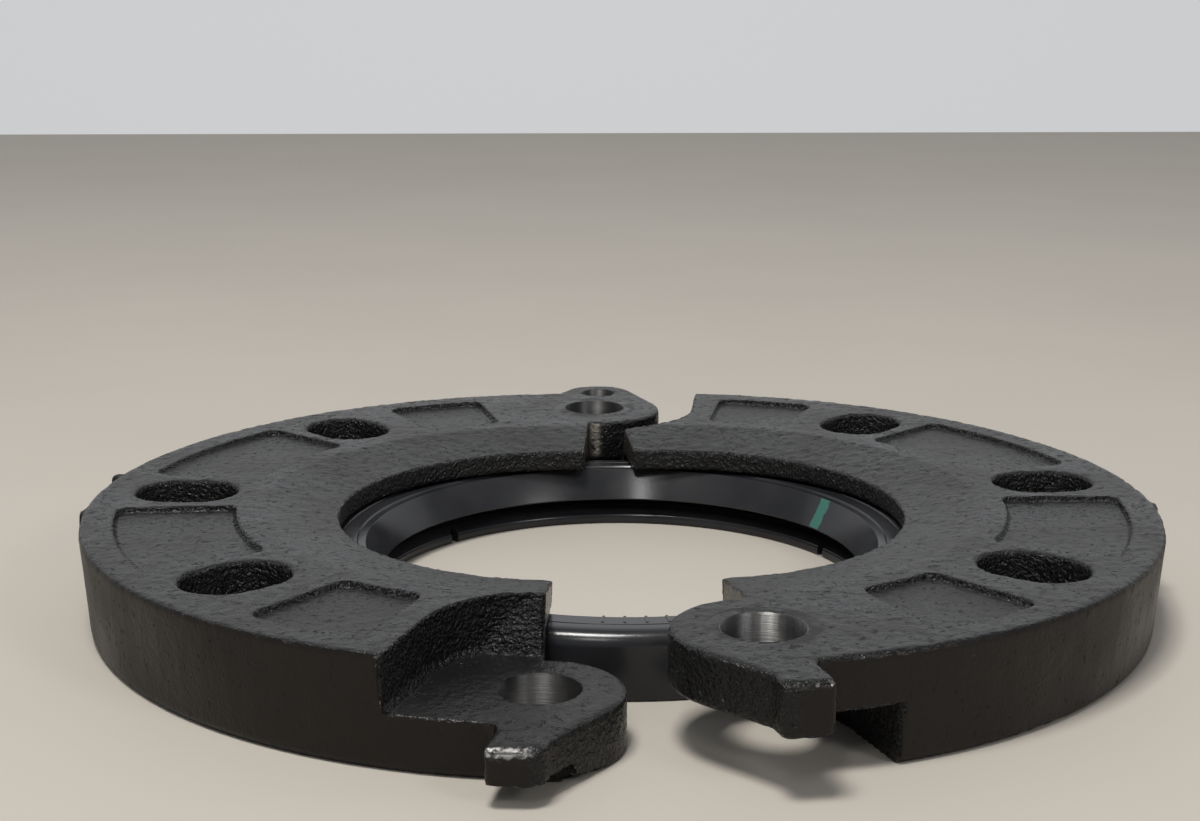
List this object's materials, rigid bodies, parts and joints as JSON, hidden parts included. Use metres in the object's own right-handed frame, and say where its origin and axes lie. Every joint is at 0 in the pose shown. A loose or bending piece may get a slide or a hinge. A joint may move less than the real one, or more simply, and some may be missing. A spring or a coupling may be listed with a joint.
{
  "type": "grooved flange adapter",
  "caption": "Hinged ring that clamps on a grooved pipe end and bolts to a mating flange, with a pressure-responsive gasket in its face and lapped lugs at each end.",
  "frame": {"origin": "on the gasket's axis in the plane of the flange face, which is also the face it lies on", "axes": "+Z away from the mating flange along the pipe; +Y from the pipe's axis to the hinge pin"},
  "size_m": [0.2545, 0.2496, 0.0239],
  "materials": {
    "painted_casting": "ductile iron casting under glossy black paint, bare at the worn corners",
    "gasket_rubber": "smooth satin black moulded rubber with a painted green stripe",
    "bare_steel": "plain steel"
  },
  "bodies": {
    "core": {"gasket": "gasket_rubber", "hinge_pin": "bare_steel"},
    "left_half": {"flange_half_left": "painted_casting"},
    "right_half": {"flange_half_right": "painted_casting"}
  },
  "joints": [
    {"name": "left_swing", "type": "hinge", "parent": "core", "child": "left_half", "pos_m": [0, 0.1149, 0.012], "axis": [0, 0, -1], "range_deg": [-5.9, 75]},
    {"name": "right_swing", "type": "hinge", "parent": "core", "child": "right_half", "pos_m": [0, 0.1149, 0.012], "axis": [0, 0, 1], "range_deg": [-5.9, 75]}
  ]
}
